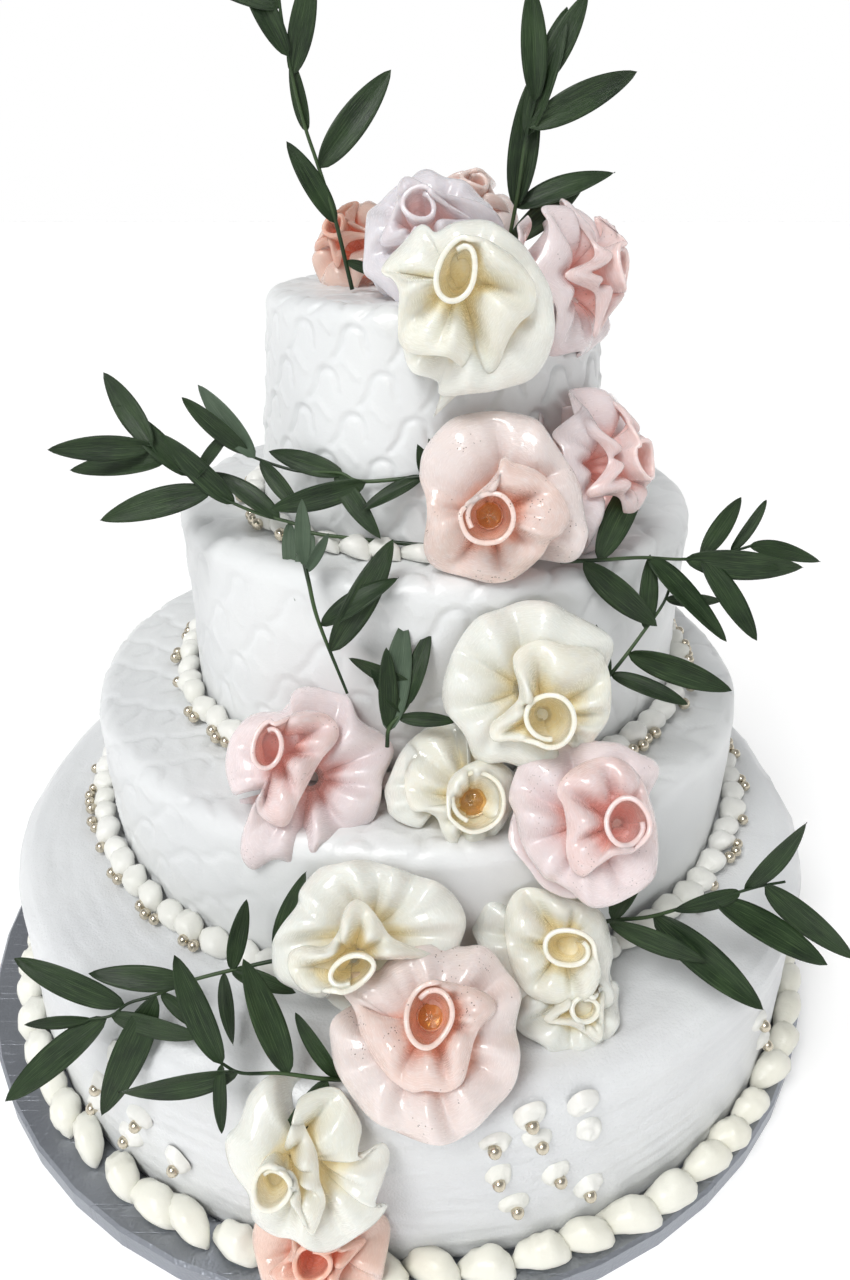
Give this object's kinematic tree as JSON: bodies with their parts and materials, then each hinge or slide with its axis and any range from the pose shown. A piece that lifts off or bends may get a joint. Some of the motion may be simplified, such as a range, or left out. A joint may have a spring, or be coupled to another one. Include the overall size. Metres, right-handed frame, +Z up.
{
  "type": "tiered wedding cake",
  "caption": "Tall white fondant wedding cake of stacked round tiers on a silver drum, with piped shell borders, pearls, pulled-sugar roses and leafy green sprigs.",
  "frame": {"origin": "middle of the drum's underside, on the surface that it stands on", "axes": "+Z up; the flowers face -Y, the front; +X is to the right of someone looking at the front"},
  "size_m": [0.472, 0.4858, 0.5315],
  "materials": {
    "foil": "silver foil, lightly embossed and scratched",
    "fondant": "satin rolled fondant, cool white",
    "cream": "piped buttercream, soft satin, with champagne pearls",
    "sugar_ivory": "pearly pulled sugar, ivory",
    "sugar_blush": "pearly pulled sugar, blush",
    "sugar_pink": "pearly pulled sugar, pale pink",
    "sugar_lilac": "pearly pulled sugar, lilac pink",
    "sugar_coral": "glossy pulled sugar, coral",
    "leaf": "dark green satin leaf with fine parallel veins"
  },
  "bodies": {
    "root": {"board": "foil", "tier_bottom": "fondant", "tier_third": "fondant", "tier_second": "fondant", "tier_top": "fondant", "border_board": "cream", "border_third": "cream", "border_second": "cream", "border_top": "cream", "rose_blush_front": "sugar_blush", "rose_blush_middle": "sugar_blush", "rose_ivory_top": "sugar_ivory", "rose_ivory_second": "sugar_ivory", "rose_pink_right": "sugar_pink", "rose_pink_left": "sugar_pink", "rose_ivory_centre": "sugar_ivory", "rose_ivory_third": "sugar_ivory", "rose_ivory_right": "sugar_ivory", "rose_ivory_low": "sugar_ivory", "rose_coral_low": "sugar_coral", "rose_pink_side": "sugar_pink", "rose_pink_edge": "sugar_pink", "rose_lilac_top": "sugar_lilac", "rose_blush_back": "sugar_blush", "rose_coral_back": "sugar_coral", "rose_ivory_tucked": "sugar_ivory", "sprig_top_left": "leaf", "sprig_top_right": "leaf", "sprig_left_upper": "leaf", "sprig_left_lower": "leaf", "sprig_left_hanging": "leaf", "sprig_centre": "leaf", "sprig_right_upper": "leaf", "sprig_right_middle": "leaf", "sprig_right_lower": "leaf", "sprig_left_low": "leaf", "sprig_front_low": "leaf"}
  },
  "joints": []
}
